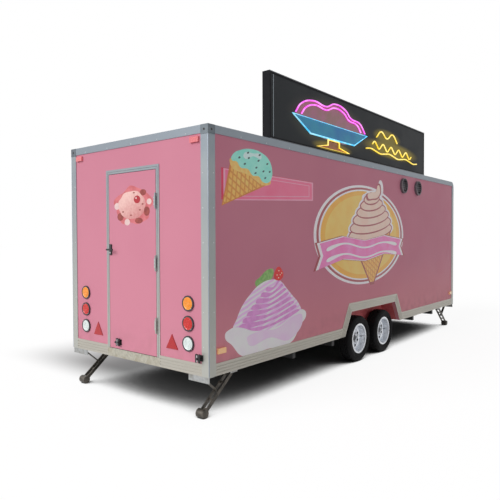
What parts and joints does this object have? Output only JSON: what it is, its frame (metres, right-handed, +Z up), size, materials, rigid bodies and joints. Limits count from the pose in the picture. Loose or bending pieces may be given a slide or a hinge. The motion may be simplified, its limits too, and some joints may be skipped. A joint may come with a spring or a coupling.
{
  "type": "tandem axle food trailer",
  "caption": "Box-bodied food trailer on a tandem-axle chassis, with a rear door, a side serving hatch and counter, a roof sign, an A-frame drawbar with ball coupler, and corner steadies.",
  "frame": {"origin": "on the ground, on the centreline, halfway along the overall length", "axes": "+X forward to the coupler, +Y to the left side, +Z up"},
  "size_m": [7.402, 2.052, 3.174],
  "materials": {
    "galvanised": "hot-dip galvanised, dull spangle",
    "dark_steel": "dark zinc plate with road dirt",
    "coupler_zinc": "zinc plated pressing",
    "pink_panel": "pink coated panel, satin",
    "roof_sheet": "white coated roof sheet",
    "floor_board": "checker plate over board",
    "arch_liner": "painted steel wheel box",
    "aluminium_section": "anodised section, satin",
    "corner_casting": "grey cast corner",
    "sill_plate": "galvanised sill plate",
    "stainless": "brushed stainless steel",
    "black_plastic": "moulded black plastic",
    "lamp_rubber": "moulded rubber grommet",
    "amber_lens": "moulded amber lens",
    "red_lens": "moulded red lens",
    "clear_lens": "moulded clear lens",
    "sign_black": "black sheet light box",
    "jockey_rubber": "solid rubber on a steel hub",
    "tyre_rubber": "road tyre",
    "wheel_silver": "silver painted steel wheel"
  },
  "bodies": {
    "trailer": {"chassis_rails": "galvanised", "chassis_crossmembers": "galvanised", "chassis_outriggers": "galvanised", "drawbar_arms": "galvanised", "drawbar_brace": "galvanised", "steady_brackets": "galvanised", "jockey_stem": "galvanised", "axle_beams": "galvanised", "axle_arms": "dark_steel", "steady_legs": "dark_steel", "steady_struts": "dark_steel", "coupler_handle": "dark_steel", "jockey_clamp": "dark_steel", "coupler": "coupler_zinc", "front_wall": "pink_panel", "rear_wall": "pink_panel", "right_wall": "pink_panel", "left_wall": "pink_panel", "roof_panel": "roof_sheet", "floor_panel": "floor_board", "wheel_boxes": "arch_liner", "corner_posts": "aluminium_section", "top_rails": "aluminium_section", "bottom_rails": "aluminium_section", "arch_trims": "aluminium_section", "door_frame": "aluminium_section", "hatch_frame": "aluminium_section", "corner_caps": "corner_casting", "door_sill": "sill_plate", "side_vents": "stainless", "door_keeper": "black_plastic", "lamp_rims": "lamp_rubber", "amber_lamps": "amber_lens", "amber_markers": "amber_lens", "red_lamps": "red_lens", "triangle_reflectors": "red_lens", "red_markers": "red_lens", "white_lamps": "clear_lens", "sign_cabinet": "sign_black", "sign_face": "sign_black", "sign_feet": "sign_black"},
    "wheel_rear_left": {"tyre_rear_left": "tyre_rubber", "rim_rear_left": "wheel_silver"},
    "wheel_rear_right": {"tyre_rear_right": "tyre_rubber", "rim_rear_right": "wheel_silver"},
    "wheel_front_left": {"tyre_front_left": "tyre_rubber", "rim_front_left": "wheel_silver"},
    "wheel_front_right": {"tyre_front_right": "tyre_rubber", "rim_front_right": "wheel_silver"},
    "jockey_swivel_body": {"jockey_fork": "galvanised"},
    "jockey_roller": {"jockey_wheel": "jockey_rubber"},
    "rear_door": {"door_leaf": "pink_panel", "door_hinges": "stainless", "door_handle": "black_plastic", "door_catch": "black_plastic"},
    "serving_hatch": {"hatch_leaf": "pink_panel", "hatch_hinge": "aluminium_section", "hatch_latches": "stainless"},
    "counter_flap": {"counter_leaf": "stainless"}
  },
  "joints": [
    {"name": "wheel_rear_left_spin", "type": "hinge", "parent": "trailer", "child": "wheel_rear_left", "pos_m": [-0.919, 0.8895, 0.28], "axis": [0, 1, 0], "continuous": true},
    {"name": "wheel_rear_right_spin", "type": "hinge", "parent": "trailer", "child": "wheel_rear_right", "pos_m": [-0.919, -0.8895, 0.28], "axis": [0, 1, 0], "continuous": true},
    {"name": "wheel_front_left_spin", "type": "hinge", "parent": "trailer", "child": "wheel_front_left", "pos_m": [-0.229, 0.8895, 0.28], "axis": [0, 1, 0], "continuous": true},
    {"name": "wheel_front_right_spin", "type": "hinge", "parent": "trailer", "child": "wheel_front_right", "pos_m": [-0.229, -0.8895, 0.28], "axis": [0, 1, 0], "continuous": true},
    {"name": "jockey_swivel", "type": "hinge", "parent": "trailer", "child": "jockey_swivel_body", "pos_m": [3.181, 0, 0.23], "axis": [0, 0, 1], "continuous": true},
    {"name": "jockey_roll", "type": "hinge", "parent": "jockey_swivel_body", "child": "jockey_roller", "pos_m": [3.139, 0, 0.1], "axis": [0, 1, 0], "continuous": true},
    {"name": "rear_door_hinge", "type": "hinge", "parent": "trailer", "child": "rear_door", "pos_m": [-3.661, -0.351, 1.3035], "axis": [0, 0, 1], "range_deg": [0, 172]},
    {"name": "hatch_hinge_turn", "type": "hinge", "parent": "trailer", "child": "serving_hatch", "pos_m": [-0.649, 1.012, 2.09], "axis": [1, 0, 0], "range_deg": [0, 90]},
    {"name": "counter_hinge_turn", "type": "hinge", "parent": "trailer", "child": "counter_flap", "pos_m": [-0.649, 1.014, 1.168], "axis": [1, 0, 0], "range_deg": [0, 90]}
  ]
}
